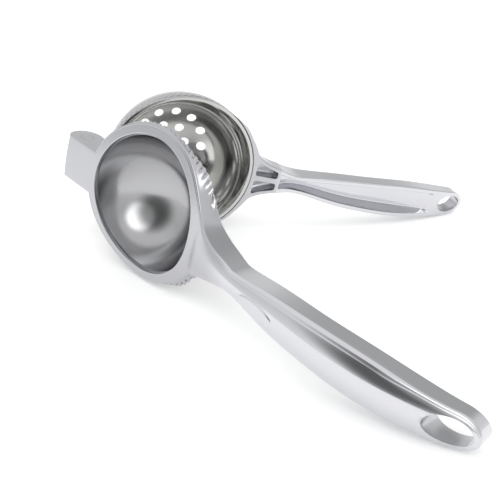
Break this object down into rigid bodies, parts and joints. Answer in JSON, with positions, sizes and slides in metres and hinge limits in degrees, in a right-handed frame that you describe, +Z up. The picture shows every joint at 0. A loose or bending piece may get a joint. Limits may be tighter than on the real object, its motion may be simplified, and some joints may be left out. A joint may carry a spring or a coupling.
{
  "type": "citrus squeezer",
  "caption": "Hand citrus squeezer lying open: hinged cast arms, a polished pressing dome on one, a perforated strainer cup on the other, arched handles with oval hanging holes.",
  "frame": {"origin": "middle of the footprint, on the surface that the squeezer lies on", "axes": "+Z up from that surface, +X from the hinge towards the handle ends along the middle line between the arms, +Y from the press arm towards the cup arm"},
  "size_m": [0.1908, 0.2172, 0.072],
  "materials": {
    "cast_arms": "chrome plated die casting, satin on the ring and bright on the handles",
    "polished_dome": "mirror polished",
    "polished_cup": "polished",
    "pin_steel": "turned steel"
  },
  "bodies": {
    "cup_side": {"cup_arm": "cast_arms", "strainer_cup": "polished_cup"},
    "press_side": {"press_arm": "cast_arms", "press_dome": "polished_dome", "hinge_pin": "pin_steel"}
  },
  "joints": [
    {"name": "squeeze_hinge", "type": "hinge", "parent": "cup_side", "child": "press_side", "pos_m": [-0.08548, -0.00315, 0.04416], "axis": [0.2113, 0, 0.9774], "range_deg": [-48.2, 57.8]}
  ]
}
